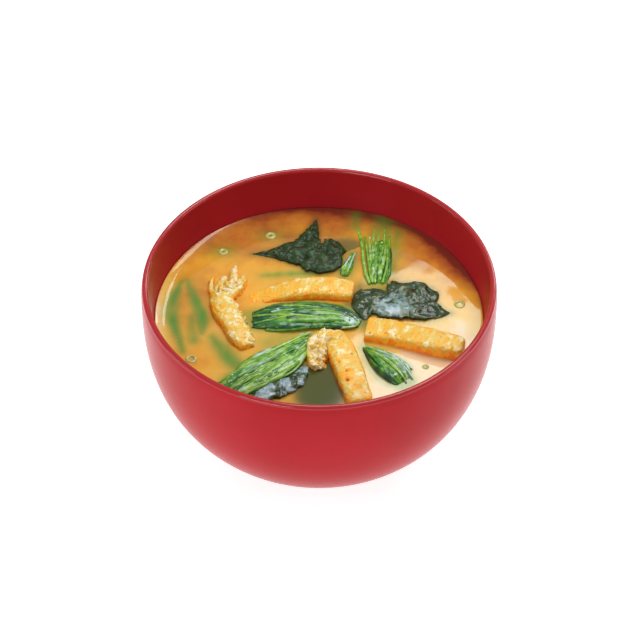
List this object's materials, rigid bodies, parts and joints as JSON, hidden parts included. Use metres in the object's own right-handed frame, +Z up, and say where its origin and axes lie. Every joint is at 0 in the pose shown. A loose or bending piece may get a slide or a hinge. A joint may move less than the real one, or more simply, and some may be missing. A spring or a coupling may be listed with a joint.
{
  "type": "bowl of miso soup",
  "caption": "Round footed soup bowl in red lacquer, filled with miso soup that carries strips of fried tofu, leafy greens and wakame seaweed.",
  "frame": {"origin": "centre of the foot ring's underside, on the table", "axes": "+Z up along the bowl's axis, +X to the right and +Y away from the viewer as the soup is shown"},
  "size_m": [0.1168, 0.1168, 0.067],
  "materials": {
    "red_lacquer": "satin lacquer",
    "broth": "cloudy wet soup",
    "wakame": "wet seaweed",
    "greens": "wet boiled leaf",
    "fried_tofu": "pitted fried skin"
  },
  "bodies": {
    "root": {"bowl": "red_lacquer", "soup": "broth", "wakame_back": "wakame", "wakame_right": "wakame", "wakame_front": "wakame", "greens_centre": "greens", "greens_front": "greens", "greens_right": "greens", "greens_back": "greens", "greens_small": "greens", "tofu_left": "fried_tofu", "tofu_back": "fried_tofu", "tofu_right": "fried_tofu", "tofu_front": "fried_tofu"}
  },
  "joints": []
}
